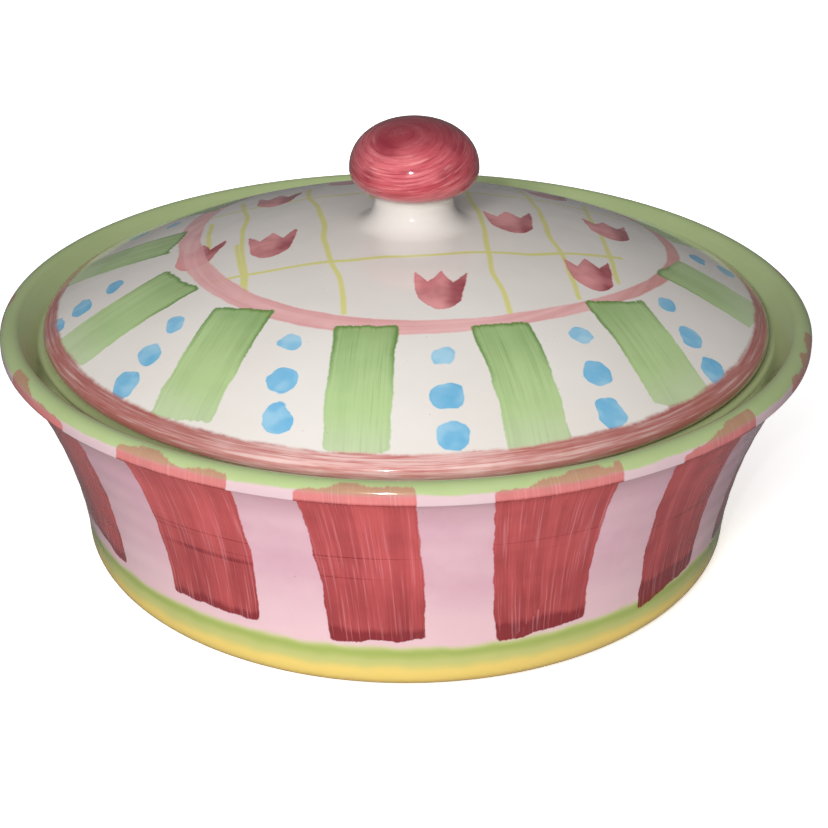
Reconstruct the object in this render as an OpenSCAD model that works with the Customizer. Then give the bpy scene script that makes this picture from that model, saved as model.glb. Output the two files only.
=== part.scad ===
// Round covered casserole in glazed earthenware: a flared dish with a gallery
// inside its rim, a low domed lid that rests on the gallery, and a round knob
// joined to the lid's neck. Everything is turned about the Z axis, and the
// origin is the centre of the dish's foot, on the table.

/* [Dish] */
// Outer diameter of the rim
rim_d = 300; // [240:5:360]
// Height of the dish, from the table to the top of the rim
dish_h = 93.5; // [80:0.5:120]
// Outer diameter of the flat foot
foot_d = 228; // [190:2:236]
// Radius of the rounded turn from the foot into the wall
foot_round = 10; // [4:1:14]
// Outward lean of the wall where it leaves the foot, in degrees
wall_lean = 4.7; // [1:0.1:8]
// Radius of the hollow curve that flares the wall out to the rim
flare_r = 190; // [150:5:300]
// Thickness of the wall
wall_t = 7; // [5:0.5:9]
// Thickness of the floor
floor_t = 8; // [6:0.5:12]
// Radius of the inside turn from the floor into the wall
floor_round = 18; // [8:1:26]
// Width of the foot ring that touches the table
foot_ring_w = 9; // [5:1:16]
// Depth of the hollow inside the foot ring
foot_recess = 2.5; // [1:0.5:4]

/* [Lip and gallery] */
// Height of the lip's outer face
lip_h = 7; // [5:0.5:10]
// How far the lip stands out past the wall below it
lip_overhang = 2.42; // [1.5:0.01:5]
// Radius of the rounded top of the lip
lip_round = 4; // [2:0.5:5]
// Radius of the lip's lower outer edge
lip_edge = 0.8; // [0.4:0.1:1.5]
// Width from the rim in to the gallery's outer corner
lip_w = 13.5; // [12:0.5:18]
// Depth of the gallery below the top of the rim
gallery_depth = 8; // [5:0.5:12]
// Width of the gallery ledge that carries the lid
gallery_w = 10; // [8:0.5:14]
// Thickness of the ledge at its inner edge
gallery_t = 6; // [4:0.5:9]
// Radius of the ledge's inner edge
gallery_round = 1.5; // [0.5:0.5:2]
// Radius of the hollow turn from the ledge up into the lip
gallery_fillet = 2.5; // [1:0.5:4]

/* [Lid] */
// Free play between the lid's edge and the gallery's outer corner
lid_play = 2; // [1:0.5:4]
// Rise of the dome from its edge to its crown
dome_rise = 33; // [22:1:60]
// Thickness of the dome
lid_t = 6; // [4:0.5:8]
// Radius of the rounded edge of the lid
edge_round = 3.2; // [2:0.2:4]
// Height of the lid's edge above the ledge
edge_gap = 0.4; // [0.3:0.1:1.5]
// Width of the flat ring under the lid that rests on the ledge
seat_w = 6; // [4:0.5:7]

/* [Neck and knob] */
// Diameter of the neck at its waist
neck_d = 29; // [22:1:40]
// Radius of the hollow curve from the dome up into the neck
neck_fillet = 9; // [6:0.5:14]
// Radius of the small curve from the waist out to the knob
neck_flare = 3.6; // [3:0.2:6]
// Height from the neck's waist to the knob
neck_top_h = 3; // [1:0.2:3]
// Diameter of the hollow under the neck
neck_hollow_d = 16; // [8:1:18]
// Thickness of clay left between that hollow and the knob
neck_cap_t = 7; // [5:0.5:10]
// Diameter of the knob
knob_d = 47.5; // [38:0.5:60]
// Height of the knob above its widest part
knob_crown = 18.3; // [14:0.1:26]
// Depth of the curve below the knob's widest part
knob_under = 12; // [8:0.5:20]

/* [Hidden] */
$fn = 180;
glaze_lavender = "thistle";
glaze_white = "whitesmoke";
glaze_raspberry = "palevioletred";

rim_r = rim_d / 2;
foot_r = foot_d / 2;
lip_z = dish_h - lip_h;
ledge_z = dish_h - gallery_depth;
ledge_out_r = rim_r - lip_w;
ledge_in_r = ledge_out_r - gallery_w;

// The wall is an arc about a point outside the dish, tangent to the foot's turn.
wall_c = [foot_r + (foot_round + flare_r) * cos(wall_lean), foot_round - (foot_round + flare_r) * sin(wall_lean)];
inner_flare_r = flare_r + wall_t;

// The inside turn touches both the floor and the inner face of the wall.
floor_c = [
    wall_c.x - sqrt(pow(inner_flare_r + floor_round, 2) - pow(floor_t + floor_round - wall_c.y, 2)),
    floor_t + floor_round
];

// The wall's inner face runs into the thickness below the ledge here.
shelf_z = ledge_z - gallery_t - 10;

// The wall always ends under the lip. Where the plain arc would end short of
// that or past it, the wall above the inside turn is drawn over to meet it.
arc_end_r = wall_c.x - sqrt(pow(flare_r, 2) - pow(lip_z - wall_c.y, 2));
reach = rim_r - lip_overhang - arc_end_r;

lid_r = ledge_out_r - lid_play;
edge_c = [lid_r - edge_round, ledge_z + edge_gap + edge_round];
dome_r = (lid_r * lid_r + dome_rise * dome_rise) / (2 * dome_rise);
dome_z = edge_c.y - sqrt(pow(dome_r - edge_round, 2) - pow(edge_c.x, 2));
inner_dome_r = dome_r - lid_t;
seat_in_r = edge_c.x - seat_w + 0.5;

// The fillet at the neck's foot touches the dome and the waist.
neck_r = neck_d / 2;
neck_c = [neck_r + neck_fillet, dome_z + sqrt(pow(dome_r + neck_fillet, 2) - pow(neck_r + neck_fillet, 2))];
neck_top_z = neck_c.y + neck_top_h;
neck_top_r = neck_r + neck_flare - sqrt(pow(neck_flare, 2) - pow(neck_top_h, 2));
hollow_r = neck_hollow_d / 2;
hollow_top_z = neck_top_z - neck_cap_t;

knob_r = knob_d / 2;
knob_z = neck_top_z + knob_under * sqrt(1 - pow(neck_top_r / knob_r, 2));

// Angle, in degrees, of point p seen from c.
function bearing(c, p) = atan2(p.y - c.y, p.x - c.x);

// Points along an arc about c from angle a0 to angle a1, in n steps.
function arc(c, r, a0, a1, n) = [for (i = [0 : n]) let (a = a0 + (a1 - a0) * i / n) c + r * [cos(a), sin(a)]];

// Angle at which the arc of radius r about c reaches height z, on its left side.
function left_angle(c, r, z) = 180 - asin((z - c.y) / r);

// The wall's points, moved outward by their share of the reach at their height.
function drawn_over(points) =
    [for (p = points) p + [reach * pow(max(0, p.y - floor_c.y) / (lip_z - floor_c.y), 2), 0]];

// Cross-section of the dish, from the axis out under the foot and back over the rim.
function dish_outline() = concat(
    [[0, foot_recess], [foot_r - foot_ring_w - foot_recess, foot_recess], [foot_r - foot_ring_w, 0]],
    arc([foot_r, foot_round], foot_round, -90, -wall_lean, 10),
    drawn_over(arc(wall_c, flare_r, 180 - wall_lean - 1, left_angle(wall_c, flare_r, lip_z), 14)),
    arc([rim_r - lip_edge, lip_z + lip_edge], lip_edge, -90, 0, 4),
    arc([rim_r - lip_round, dish_h - lip_round], lip_round, 0, 135, 12),
    gallery_corner(),
    arc([ledge_in_r + gallery_round, ledge_z - gallery_round], gallery_round, 90, 180, 5),
    [[ledge_in_r, ledge_z - gallery_t]],
    drawn_over(arc(wall_c, inner_flare_r, left_angle(wall_c, inner_flare_r, shelf_z), bearing(wall_c, floor_c), 12)),
    arc(floor_c, floor_round, bearing(floor_c, wall_c), -90, 10),
    [[0, floor_t]]
);

// The hollow turn between the ledge and the 45 degree slope up to the lip.
function gallery_corner() =
    let (slope_foot = gallery_fillet * tan(22.5))
    arc([ledge_out_r - slope_foot, ledge_z + gallery_fillet], gallery_fillet, -45, -90, 5);

// Cross-section of the lid, from the hollow under the neck out to the edge and
// back over the dome to the neck's top.
function lid_outline() = concat(
    [[0, hollow_top_z]],
    arc([hollow_r - 3, hollow_top_z - 3], 3, 90, 0, 5),
    [[hollow_r, dome_z + inner_dome_r]],
    arc([0, dome_z], inner_dome_r, acos((hollow_r + 2) / inner_dome_r), acos((seat_in_r - 2) / inner_dome_r), 14),
    [[seat_in_r, ledge_z], [edge_c.x - 0.5, ledge_z]],
    arc(edge_c, edge_round, -90, bearing([0, dome_z], edge_c), 12),
    arc([0, dome_z], dome_r, bearing([0, dome_z], edge_c) + 0.5, bearing([0, dome_z], neck_c), 16),
    arc(neck_c, neck_fillet, bearing([0, dome_z], neck_c) + 180, 180, 10),
    arc([neck_r + neck_flare, neck_c.y], neck_flare, 178, left_angle([0, 0], neck_flare, neck_top_h), 5),
    [[0, neck_top_z]]
);

// Cross-section of the knob: one half ellipse above its widest part and a
// flatter one below, cut off where it sits on the neck.
function knob_outline() =
    let (cut = -acos(neck_top_r / knob_r))
    concat(
        [[0, neck_top_z]],
        [for (i = [0 : 8]) let (a = cut * (1 - i / 8)) [knob_r * cos(a), knob_z + knob_under * sin(a)]],
        [for (i = [1 : 14]) let (a = 90 * i / 14) [knob_r * cos(a), knob_z + knob_crown * sin(a)]]
    );

module dish() {
    color(glaze_lavender)
        rotate_extrude() polygon(dish_outline());
}

module lid() {
    color(glaze_white)
        rotate_extrude() polygon(lid_outline());
}

module knob() {
    color(glaze_raspberry)
        rotate_extrude() polygon(knob_outline());
}

dish();
lid();
knob();
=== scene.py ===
# %% [markdown]
# # A covered serving dish, thrown, painted and glazed
# Three pieces of glazed earthenware: a flared dish, a low domed lid that rests on a
# ledge inside the rim, and a round knob on the lid's neck. All three are turned
# shapes, so each starts as half a cross-section that is spun about the Z axis.
# The brushwork is painted by shaders that read each point's place on the pot.

# %% Tools and frame
import math
import bmesh
import bpy
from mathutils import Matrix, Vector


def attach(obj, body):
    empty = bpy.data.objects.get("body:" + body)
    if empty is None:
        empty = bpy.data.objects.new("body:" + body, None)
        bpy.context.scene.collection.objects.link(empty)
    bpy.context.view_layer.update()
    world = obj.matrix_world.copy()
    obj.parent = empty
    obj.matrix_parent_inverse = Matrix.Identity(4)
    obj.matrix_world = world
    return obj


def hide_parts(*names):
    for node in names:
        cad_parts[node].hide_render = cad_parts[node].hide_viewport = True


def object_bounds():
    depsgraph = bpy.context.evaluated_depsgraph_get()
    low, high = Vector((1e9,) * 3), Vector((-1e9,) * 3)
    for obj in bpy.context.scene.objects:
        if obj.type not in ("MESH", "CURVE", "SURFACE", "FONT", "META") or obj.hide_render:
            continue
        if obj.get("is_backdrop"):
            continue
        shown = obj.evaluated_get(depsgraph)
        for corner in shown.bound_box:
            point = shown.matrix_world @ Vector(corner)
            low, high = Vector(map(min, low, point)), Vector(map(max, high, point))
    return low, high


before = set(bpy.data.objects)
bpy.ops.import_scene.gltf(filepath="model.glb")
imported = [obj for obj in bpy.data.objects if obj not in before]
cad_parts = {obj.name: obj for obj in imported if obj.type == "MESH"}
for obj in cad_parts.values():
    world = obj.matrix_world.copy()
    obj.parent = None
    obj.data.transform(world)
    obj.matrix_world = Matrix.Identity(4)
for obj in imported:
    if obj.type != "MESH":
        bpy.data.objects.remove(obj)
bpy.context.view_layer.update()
MM = 0.001

# %% [markdown]
# ## Helpers for outlines
# A potter's profile is made of round turns. `arc` gives points along one, in
# millimetres, and `bearing` the direction from one point to another.

# %% Arcs
def arc(centre, radius, start, end, steps):
    points = []
    for i in range(steps + 1):
        angle = math.radians(start + (end - start) * i / steps)
        points.append((centre[0] + radius * math.cos(angle), centre[1] + radius * math.sin(angle)))
    return points


def bearing(centre, point):
    return math.degrees(math.atan2(point[1] - centre[1], point[0] - centre[0]))


def left_angle(centre, radius, height):
    return 180 - math.degrees(math.asin((height - centre[1]) / radius))


def fine(points, step):
    """The same outline with long straight parts cut into short ones."""
    out = [points[0]]
    for a, b in zip(points, points[1:]):
        count = max(1, int(math.dist(a, b) / step))
        for i in range(1, count + 1):
            out.append((a[0] + (b[0] - a[0]) * i / count, a[1] + (b[1] - a[1]) * i / count))
    return out


# %% [markdown]
# ## Spinning a cross-section
# `turned` spins a list of outline parts about Z and joins the seam and the poles.
# Each part also gets its own patch of the UV map: a disc for what is seen from above
# or below, a strip for what stands upright. Round shapes unroll this way with little
# stretching, so the paint keeps an even grain when it is baked to a picture.

# %% Spin and unroll
def strip_uv(angle, part, along):
    left, bottom, width, height = part["patch"]
    share = (along - part["from"]) / (part["to"] - part["from"])
    turn = (angle - part["turn"]) / (2 * math.pi) * part["laps"]
    return (left + width * turn, bottom + height * share)


def disc_uv(angle, part, along):
    x, y, radius = part["patch"]
    reach = abs(along - part["pole"]) / (part["to"] - part["from"]) * radius
    return (x + reach * math.cos(angle), y + reach * math.sin(angle))


def turned(name, parts, steps):
    """A mesh spun from outline parts, each {"points", "kind", "patch", "material"}."""
    outline = list(parts[0]["points"])
    length = 0.0
    for part in parts:
        part["from"] = length
        points = part["points"]
        for a, b in zip(points, points[1:]):
            length += math.dist(a, b)
        part["to"] = length
        part["pole"] = part["from"] if part["points"][0][0] < 0.001 else part["to"]
        if part is not parts[0]:
            outline.extend(points[1:])
    mesh = bmesh.new()
    along = mesh.verts.layers.float.new("along")
    travelled = 0.0
    previous = None
    for r, z in outline:
        vert = mesh.verts.new((r * MM, 0, z * MM))
        if previous is not None:
            travelled += math.dist((previous.co.x, previous.co.z), (vert.co.x, vert.co.z)) / MM
            mesh.edges.new((previous, vert))
        vert[along] = travelled
        previous = vert
    bmesh.ops.spin(
        mesh, geom=mesh.verts[:] + mesh.edges[:], cent=(0, 0, 0), axis=(0, 0, 1),
        angle=2 * math.pi, steps=steps, use_merge=True, use_duplicate=False,
    )
    bmesh.ops.remove_doubles(mesh, verts=mesh.verts[:], dist=0.000002)
    bmesh.ops.recalc_face_normals(mesh, faces=mesh.faces[:])
    uv = mesh.loops.layers.uv.new("OFBake")
    for face in mesh.faces:
        face.smooth = True
        middle = sum(v[along] for v in face.verts) / len(face.verts)
        part = next(p for p in parts if middle <= p["to"] or p is parts[-1])
        face.material_index = part["material"]
        centre = face.calc_center_median()
        face_angle = math.atan2(centre.y, centre.x) % (2 * math.pi)
        if part["kind"] == "strip":
            lap = int(face_angle / (2 * math.pi) * part["laps"]) if part["laps"] > 1 else 0
            patch = part["patches"][lap]
            part = dict(part, patch=patch, turn=lap * 2 * math.pi / part["laps"])
        for loop in face.loops:
            x, y = loop.vert.co.x, loop.vert.co.y
            angle = face_angle if abs(x) + abs(y) < 1e-7 else math.atan2(y, x)
            angle += 2 * math.pi * round((face_angle - angle) / (2 * math.pi))
            place = min(max(loop.vert[along], part["from"]), part["to"])
            unroll = strip_uv if part["kind"] == "strip" else disc_uv
            loop[uv].uv = unroll(angle, part, place)
    for edge in mesh.edges:
        if len(edge.link_faces) == 2 and edge.calc_face_angle() > math.radians(35):
            edge.smooth = False
    data = bpy.data.meshes.new(name)
    mesh.to_mesh(data)
    mesh.free()
    piece = bpy.data.objects.new(name, data)
    bpy.context.scene.collection.objects.link(piece)
    print(name, "has", len(data.polygons), "faces, outline", round(length), "mm long")
    return piece


# %% [markdown]
# ## The dish's cross-section
# The sizes are those of the solid model. The wall is a hollow curve that leaves the
# foot nearly upright and flares to the rim. The lip has a small step below it on
# the outside and slopes down to a flat ledge on the inside, where the lid rests.

# %% Dish outline
RIM_R = 150
DISH_H = 93.5
FOOT_R = 114
LEAN = 4.7
FLARE_R = 190
WALL = 7
FLOOR = 8
LIP_Z = DISH_H - 7
LEDGE_Z = DISH_H - 8
LEDGE_OUT = RIM_R - 13.5
LEDGE_IN = LEDGE_OUT - 10
FOOT_TURN = 10
FLOOR_TURN = 18
LIP_EDGE = 0.8
LIP_TURN = 4
CORNER = 2.5
LEDGE_TURN = 1.5
TURNS = 256

lean = math.radians(LEAN)
wall_c = (
    FOOT_R + (FOOT_TURN + FLARE_R) * math.cos(lean),
    FOOT_TURN - (FOOT_TURN + FLARE_R) * math.sin(lean),
)
inner_r = FLARE_R + WALL
floor_turn_z = FLOOR + FLOOR_TURN
floor_c = (
    wall_c[0] - math.sqrt((inner_r + FLOOR_TURN) ** 2 - (floor_turn_z - wall_c[1]) ** 2),
    floor_turn_z,
)

under = fine([(0, 2.5), (102.5, 2.5), (103.1, 2.2), (104.6, 0.4), (105.4, 0), (113, 0)], 8)
outer = (
    [(113, 0)]
    + arc((FOOT_R, FOOT_TURN), FOOT_TURN, -88, -LEAN, 12)
    + arc(wall_c, FLARE_R, 180 - LEAN - 0.5, left_angle(wall_c, FLARE_R, LIP_Z), 44)
    + arc((RIM_R - LIP_EDGE, LIP_Z + LIP_EDGE), LIP_EDGE, -90, 0, 4)
    + arc((RIM_R - LIP_TURN, DISH_H - LIP_TURN), LIP_TURN, 0, 90, 12)
)
slope_foot = CORNER * math.tan(math.radians(22.5))
gallery = (
    arc((RIM_R - LIP_TURN, DISH_H - LIP_TURN), LIP_TURN, 90, 135, 6)
    + arc((LEDGE_OUT - slope_foot, LEDGE_Z + CORNER), CORNER, -45, -90, 5)
    + [(LEDGE_IN + 5, LEDGE_Z)]
    + arc((LEDGE_IN + LEDGE_TURN, LEDGE_Z - LEDGE_TURN), LEDGE_TURN, 90, 180, 6)
)
inner = (
    [gallery[-1], (LEDGE_IN, LEDGE_Z - 3), (LEDGE_IN, LEDGE_Z - 6)]
    + arc(wall_c, inner_r, left_angle(wall_c, inner_r, LEDGE_Z - 16), bearing(wall_c, floor_c), 30)
    + arc(floor_c, FLOOR_TURN, bearing(floor_c, wall_c), -90, 14)[1:]
)
floor_points = fine([inner[-1], (0, FLOOR)], 6)

dish = turned(
    "dish_body",
    [
        {"points": under, "kind": "disc", "patch": (0.505, 0.835, 0.155), "material": 2},
        {"points": outer, "kind": "strip", "laps": 2, "material": 0,
         "patches": [(0.005, 0.005, 0.99, 0.225), (0.005, 0.24, 0.99, 0.225)]},
        {"points": gallery, "kind": "strip", "laps": 1, "material": 0,
         "patches": [(0.005, 0.475, 0.99, 0.045)]},
        {"points": inner, "kind": "strip", "laps": 1, "material": 1,
         "patches": [(0.005, 0.53, 0.99, 0.14)]},
        {"points": floor_points, "kind": "disc", "patch": (0.165, 0.835, 0.155), "material": 1},
    ],
    TURNS,
)

# %% [markdown]
# ## The lid's cross-section
# A dome of even thickness with a rounded edge and a flat seat under it. A short
# hollow neck rises at the middle in a soft curve, the way clay is drawn up by hand.

# %% Lid outline
PLAY = 2
LID_R = LEDGE_OUT - PLAY
RISE = 33
EDGE_TURN = 3.2
LID_THICK = 6
NECK_R = 14.5
NECK_FOOT_TURN = 9
NECK_FLARE = 3.6
edge_c = (LID_R - EDGE_TURN, LEDGE_Z + 0.4 + EDGE_TURN)
dome_r = (LID_R ** 2 + RISE ** 2) / (2 * RISE)
dome_z = edge_c[1] - math.sqrt((dome_r - EDGE_TURN) ** 2 - edge_c[0] ** 2)
dome_c = (0, dome_z)
under_r = dome_r - LID_THICK
seat_r = edge_c[0] - 6 + 0.5
neck_x = NECK_R + NECK_FOOT_TURN
neck_c = (neck_x, dome_z + math.sqrt((dome_r + NECK_FOOT_TURN) ** 2 - neck_x ** 2))
neck_top = neck_c[1] + 3
hollow_top = neck_top - 7
start = math.degrees(math.acos(10 / under_r))
end = math.degrees(math.acos((seat_r - 2) / under_r))

lid_under = (
    [(0, hollow_top)]
    + arc((5, hollow_top - 3), 3, 90, 0, 6)
    + [(8, dome_z + under_r + 0.6)]
    + arc(dome_c, under_r, start, end, 60)
    + [(seat_r, LEDGE_Z), (edge_c[0] - 0.5, LEDGE_Z)]
)
lid_top = (
    [lid_under[-1]]
    + arc(edge_c, EDGE_TURN, -88, bearing(dome_c, edge_c), 14)
    + arc(dome_c, dome_r, bearing(dome_c, edge_c) + 0.3, bearing(dome_c, neck_c), 76)
    + arc(neck_c, NECK_FOOT_TURN, bearing(dome_c, neck_c) + 180, 180, 14)[1:]
    + arc((NECK_R + NECK_FLARE, neck_c[1]), NECK_FLARE, 178, left_angle((0, 0), NECK_FLARE, 3), 6)
    + [(8, neck_top), (0, neck_top)]
)
lid = turned(
    "lid_dome",
    [
        {"points": lid_under, "kind": "disc", "patch": (0.845, 0.845, 0.145), "material": 1},
        {"points": lid_top, "kind": "disc", "patch": (0.36, 0.36, 0.355), "material": 0},
    ],
    TURNS,
)

# %% [markdown]
# ## The knob
# A slightly flattened ball, a little fuller than two half ellipses: a tall one
# above its widest part and a shallow one below that ends on the neck.

# %% Knob outline
FULLNESS = 0.94
KNOB_R = 23.75
CROWN = 17.9
neck_top_r = lid_top[-3][0]
knob_z = neck_top + 12 * math.sqrt(1 - (neck_top_r / KNOB_R) ** 2)
cut = -math.acos((neck_top_r / KNOB_R) ** (1 / FULLNESS))
knob_under = (knob_z - neck_top) / abs(math.sin(cut)) ** FULLNESS
knob_low = [(0, neck_top)]
for i in range(15):
    a = cut * (1 - i / 14)
    r = KNOB_R * math.cos(a) ** FULLNESS
    knob_low.append((r, knob_z - knob_under * abs(math.sin(a)) ** FULLNESS))
knob_high = [knob_low[-1]]
for i in range(1, 25):
    a = math.pi / 2 * i / 24
    r = KNOB_R * math.cos(a) ** FULLNESS if i < 24 else 0
    knob_high.append((r, knob_z + CROWN * math.sin(a) ** FULLNESS))
knob = turned(
    "knob_ball",
    [
        {"points": knob_low, "kind": "disc", "patch": (0.25, 0.5, 0.23), "material": 0},
        {"points": knob_high, "kind": "disc", "patch": (0.75, 0.5, 0.23), "material": 0},
    ],
    128,
)

# %% [markdown]
# ## Signs of the hand
# Hand-thrown ware is never quite true. The neck and knob stand a few millimetres
# to one side, the wall has faint throwing rings, and the lip dips here and there.
# The flat ledge, the lid's seat and the foot stay exact, because they touch.

# %% Small shifts
def smooth(value, low, high):
    t = min(max((value - low) / (high - low), 0), 1)
    return t * t * (3 - 2 * t)


ASIDE = 0.0030
for vert in knob.data.vertices:
    vert.co.x += ASIDE

for vert in lid.data.vertices:
    r = math.hypot(vert.co.x, vert.co.y)
    vert.co.x += ASIDE * (1 - smooth(r, 0.022, 0.100))

for vert in dish.data.vertices:
    r = math.hypot(vert.co.x, vert.co.y)
    angle = math.atan2(vert.co.y, vert.co.x)
    z = vert.co.z
    body = smooth(z, 0.004, 0.020) * (1 - smooth(z, 0.080, 0.0845)) if r > 0.110 else 0
    ripple = 0.5 + 0.5 * math.sin(z * 620 + 1.5 * math.sin(angle + 1))
    swell = 0.5 + 0.5 * math.sin(2 * angle + 0.7)
    inward = body * (0.00012 * ripple + 0.00035 * swell) + 0.00006 * smooth(z, 0.080, 0.086)
    dip = smooth(z, 0.0885, 0.0925) * 0.0003 * (0.5 + 0.5 * math.sin(3 * angle + 0.4))
    if r > 0.002:
        vert.co.x -= vert.co.x / r * inward
        vert.co.y -= vert.co.y / r * inward
    vert.co.z -= dip
print("hand shifts done")

# %% [markdown]
# ## Shader helpers
# Most of the painting below is arithmetic on the place of a point. `math_node`
# adds one step of it, and `times`, `plus` and `minus` are its commonest steps.
# A number is typed into a socket, and another node's output is linked to it.

# %% Node helpers
def node(tree, kind, **settings):
    made = tree.nodes.new(kind)
    for key, value in settings.items():
        setattr(made, key, value)
    return made


def plug(tree, value, socket):
    if isinstance(value, bpy.types.NodeSocket):
        tree.links.new(value, socket)
    else:
        socket.default_value = value


def math_node(tree, operation, *values):
    made = node(tree, "ShaderNodeMath", operation=operation)
    for value, socket in zip(values, made.inputs):
        plug(tree, value, socket)
    return made.outputs[0]


def times(tree, first, second):
    return math_node(tree, "MULTIPLY", first, second)


def plus(tree, first, second):
    return math_node(tree, "ADD", first, second)


def minus(tree, first, second):
    return math_node(tree, "SUBTRACT", first, second)


def vector_node(tree, operation, *values):
    made = node(tree, "ShaderNodeVectorMath", operation=operation)
    for value, socket in zip(values, made.inputs):
        plug(tree, value, socket)
    is_number = operation in ("DOT_PRODUCT", "LENGTH", "DISTANCE")
    return made.outputs["Value"] if is_number else made.outputs[0]


def ramp(tree, value, low, high, out_low=0.0, out_high=1.0, curve="SMOOTHSTEP"):
    made = node(tree, "ShaderNodeMapRange", interpolation_type=curve, clamp=True)
    for given, socket in zip((value, low, high, out_low, out_high), made.inputs):
        plug(tree, given, socket)
    return made.outputs[0]


def blend(tree, share, under, over, mode="MIX"):
    made = node(tree, "ShaderNodeMix", data_type="RGBA", blend_type=mode)
    plug(tree, share, made.inputs[0])
    plug(tree, under, made.inputs[6])
    plug(tree, over, made.inputs[7])
    return made.outputs[2]


def noise(tree, place, scale, detail=2.0, rough=0.5, color=False):
    made = node(tree, "ShaderNodeTexNoise")
    plug(tree, place, made.inputs["Vector"])
    plug(tree, scale, made.inputs["Scale"])
    plug(tree, detail, made.inputs["Detail"])
    plug(tree, rough, made.inputs["Roughness"])
    return made.outputs["Color" if color else "Fac"]


def tone(red, green, blue):
    """A screen colour, 0 to 255, as the linear values that shaders use."""
    linear = []
    for part in (red, green, blue):
        part = part / 255
        linear.append(part / 12.92 if part < 0.04045 else ((part + 0.055) / 1.055) ** 2.4)
    return (*linear, 1.0)


def group(name, takes, gives):
    """An empty node group with named sockets, and its input and output nodes."""
    tree = bpy.data.node_groups.new(name, "ShaderNodeTree")
    for label, kind in takes:
        tree.interface.new_socket(label, in_out="INPUT", socket_type="NodeSocket" + kind)
    for label, kind in gives:
        tree.interface.new_socket(label, in_out="OUTPUT", socket_type="NodeSocket" + kind)
    return tree, node(tree, "NodeGroupInput").outputs, node(tree, "NodeGroupOutput").inputs


def use(tree, made_group, **values):
    """One use of a group. Underscores in a name stand for spaces."""
    box = node(tree, "ShaderNodeGroup", node_tree=made_group)
    for key, value in values.items():
        plug(tree, value, box.inputs[key.replace("_", " ")])
    return box.outputs


# %% [markdown]
# ## Where a point is on the pot
# Everything below reads millimetres from the object's own coordinates: x, y and z,
# the distance from the axis, and how far round the pot the point is, with the
# front at zero. The wandering noise is what keeps brushed edges from being straight.

# %% Place group
place_group, _, gives = group(
    "Place on the pot",
    [],
    [("Point", "Vector"), ("Radius", "Float"), ("Height", "Float"), ("Around", "Float"),
     ("Wander", "Float"), ("Fine wander", "Float"), ("Round streaks", "Float"),
     ("Up streaks", "Float"), ("Out streaks", "Float"),
     ("Edge streaks", "Float"), ("Mottle", "Float")],
)
t = place_group
coords = node(t, "ShaderNodeTexCoord").outputs["Object"]
point = vector_node(t, "MULTIPLY", coords, (1000, 1000, 1000))
apart = node(t, "ShaderNodeSeparateXYZ")
plug(t, point, apart.inputs[0])
px, py, pz = apart.outputs
flat = vector_node(t, "MULTIPLY", point, (1, 1, 0))
radius = vector_node(t, "LENGTH", flat)
round_angle = math_node(t, "ARCTAN2", px, times(t, py, -1))
around = times(t, round_angle, 180 / math.pi)
heading = node(t, "ShaderNodeVectorMath", operation="NORMALIZE")
plug(t, flat, heading.inputs[0])
heading = heading.outputs[0]
wander = minus(t, noise(t, point, 0.09, 1.0), 0.5)
fine_wander = minus(t, noise(t, point, 0.55, 2.0), 0.5)
lift = node(t, "ShaderNodeCombineXYZ")
plug(t, times(t, radius, 0.35), lift.inputs[2])
plug(t, times(t, radius, 0.012), lift.inputs[0])
rings_place = vector_node(t, "ADD", lift.outputs[0], vector_node(t, "SCALE", heading))
round_streaks = noise(t, rings_place, 1.0, 3.0)
out_lift = node(t, "ShaderNodeCombineXYZ")
plug(t, times(t, radius, 0.012), out_lift.inputs[2])
spread = node(t, "ShaderNodeVectorMath", operation="SCALE")
plug(t, heading, spread.inputs[0])
spread.inputs["Scale"].default_value = 62.0
out_place = vector_node(t, "ADD", out_lift.outputs[0], spread.outputs[0])
out_fine = noise(t, out_place, 1.2, 3.0, 0.65)
out_broad = noise(t, out_place, 0.22, 1.0)
out_streaks = plus(t, times(t, out_fine, 0.55), times(t, out_broad, 0.45))
up_lift = node(t, "ShaderNodeCombineXYZ")
plug(t, times(t, pz, 0.014), up_lift.inputs[2])
up_place = vector_node(t, "ADD", up_lift.outputs[0], spread.outputs[0])
up_fine = noise(t, up_place, 1.5, 3.0, 0.65)
up_broad = noise(t, up_place, 0.2, 1.0)
up_streaks = plus(t, times(t, up_fine, 0.5), times(t, up_broad, 0.5))
edge_lift = node(t, "ShaderNodeCombineXYZ")
plug(t, minus(t, radius, pz), edge_lift.inputs[2])
ring = node(t, "ShaderNodeVectorMath", operation="SCALE")
plug(t, heading, ring.inputs[0])
ring.inputs["Scale"].default_value = 7.0
edge_place = vector_node(t, "ADD", edge_lift.outputs[0], ring.outputs[0])
edge_streaks = noise(t, edge_place, 0.8, 3.0, 0.6)
mottle = noise(t, point, 0.05, 3.0, 0.55)
for label, value in (
    ("Point", point), ("Radius", radius), ("Height", pz), ("Around", around),
    ("Wander", wander), ("Fine wander", fine_wander), ("Round streaks", round_streaks),
    ("Up streaks", up_streaks), ("Out streaks", out_streaks),
    ("Edge streaks", edge_streaks), ("Mottle", mottle),
):
    plug(t, value, gives[label])

# %% [markdown]
# ## One brush stroke
# A stroke is a band from a start to an end. The group gives how many millimetres
# a point is inside its outline: above zero is painted. The sides may bow, and the
# ends are more ragged than the sides because bristles lift off one by one.

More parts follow.
